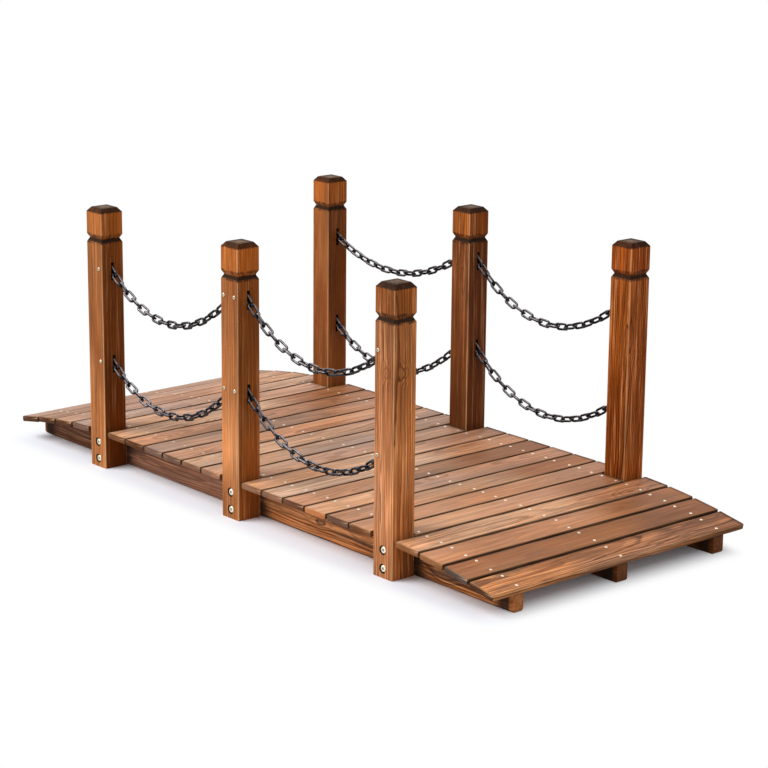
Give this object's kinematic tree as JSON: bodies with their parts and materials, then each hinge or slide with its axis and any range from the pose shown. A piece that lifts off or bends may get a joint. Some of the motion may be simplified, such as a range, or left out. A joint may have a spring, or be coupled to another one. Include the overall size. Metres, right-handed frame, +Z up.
{
  "type": "wooden footbridge",
  "caption": "Small wooden garden footbridge: cross boards on flat-bottomed stringers, sloping ends, and square grooved posts joined by hanging chain rails.",
  "frame": {"origin": "on the ground, centre of the footprint, at the bottom face of the middle stringer", "axes": "+X along the walkway, +Y across it, +Z up"},
  "size_m": [1.5266, 0.6644, 0.557],
  "materials": {
    "deck_wood": "stained softwood, matt",
    "post_wood": "stained softwood, satin",
    "stringer_wood": "stained softwood, satin",
    "chain_metal": "dark gunmetal coating, satin",
    "bolt_metal": "zinc plated",
    "screw_metal": "zinc plated"
  },
  "bodies": {
    "root": {"chain_far_left_lower": "chain_metal", "chain_far_left_upper": "chain_metal", "chain_far_right_lower": "chain_metal", "chain_far_right_upper": "chain_metal", "chain_near_left_lower": "chain_metal", "chain_near_left_upper": "chain_metal", "chain_near_right_lower": "chain_metal", "chain_near_right_upper": "chain_metal", "chain_screws_far": "screw_metal", "chain_screws_near": "screw_metal", "deck_board_01": "deck_wood", "deck_board_02": "deck_wood", "deck_board_03": "deck_wood", "deck_board_04": "deck_wood", "deck_board_05": "deck_wood", "deck_board_06": "deck_wood", "deck_board_07": "deck_wood", "deck_board_08": "deck_wood", "deck_board_09": "deck_wood", "deck_board_10": "deck_wood", "deck_board_11": "deck_wood", "deck_board_12": "deck_wood", "deck_board_13": "deck_wood", "deck_board_14": "deck_wood", "deck_board_15": "deck_wood", "deck_board_16": "deck_wood", "deck_board_17": "deck_wood", "deck_board_18": "deck_wood", "deck_board_19": "deck_wood", "deck_board_20": "deck_wood", "deck_board_21": "deck_wood", "deck_board_22": "deck_wood", "deck_board_23": "deck_wood", "post_bolts_far": "bolt_metal", "post_bolts_near": "bolt_metal", "post_far_left": "post_wood", "post_far_middle": "post_wood", "post_far_right": "post_wood", "post_near_left": "post_wood", "post_near_middle": "post_wood", "post_near_right": "post_wood", "stringer_far": "stringer_wood", "stringer_middle": "stringer_wood", "stringer_near": "stringer_wood"}
  },
  "joints": []
}
